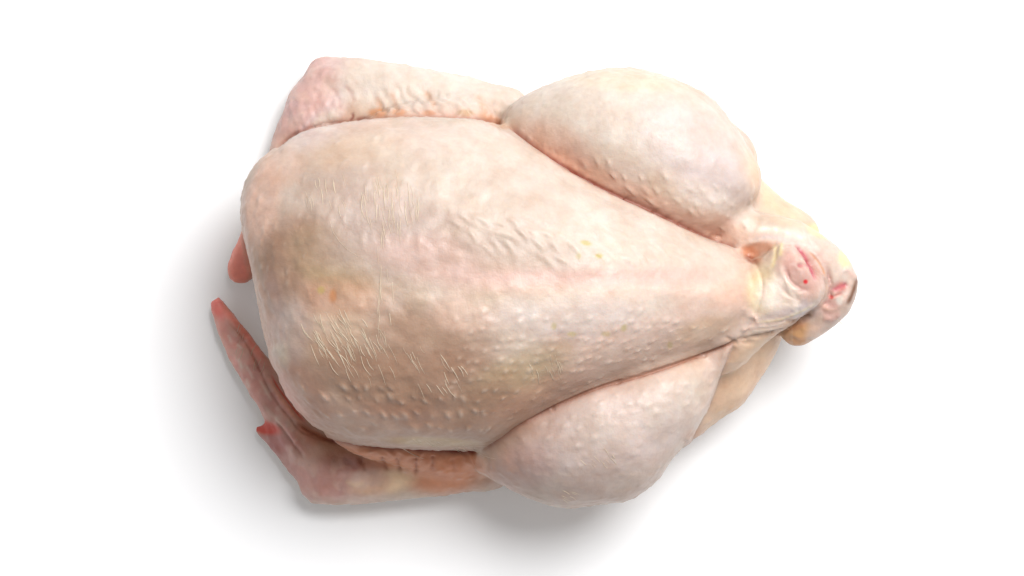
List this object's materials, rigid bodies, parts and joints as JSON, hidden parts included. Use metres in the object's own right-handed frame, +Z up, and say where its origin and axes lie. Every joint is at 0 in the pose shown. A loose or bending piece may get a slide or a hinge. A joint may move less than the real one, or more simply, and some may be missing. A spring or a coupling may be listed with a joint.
{
  "type": "whole raw chicken",
  "caption": "Plucked, oven-ready raw chicken lying on its back, breast up, with crossed legs and folded wings.",
  "frame": {"origin": "on the ground under the middle of the bird's bounding box", "axes": "+X from the neck end towards the crossed hocks, +Y towards the bird's left side (up in the picture), +Z up from the back through the breast"},
  "size_m": [0.274, 0.1926, 0.1106],
  "materials": {
    "skin": "raw poultry skin: pale, pimpled and slightly moist"
  },
  "bodies": {
    "root": {"chicken": "skin"}
  },
  "joints": []
}
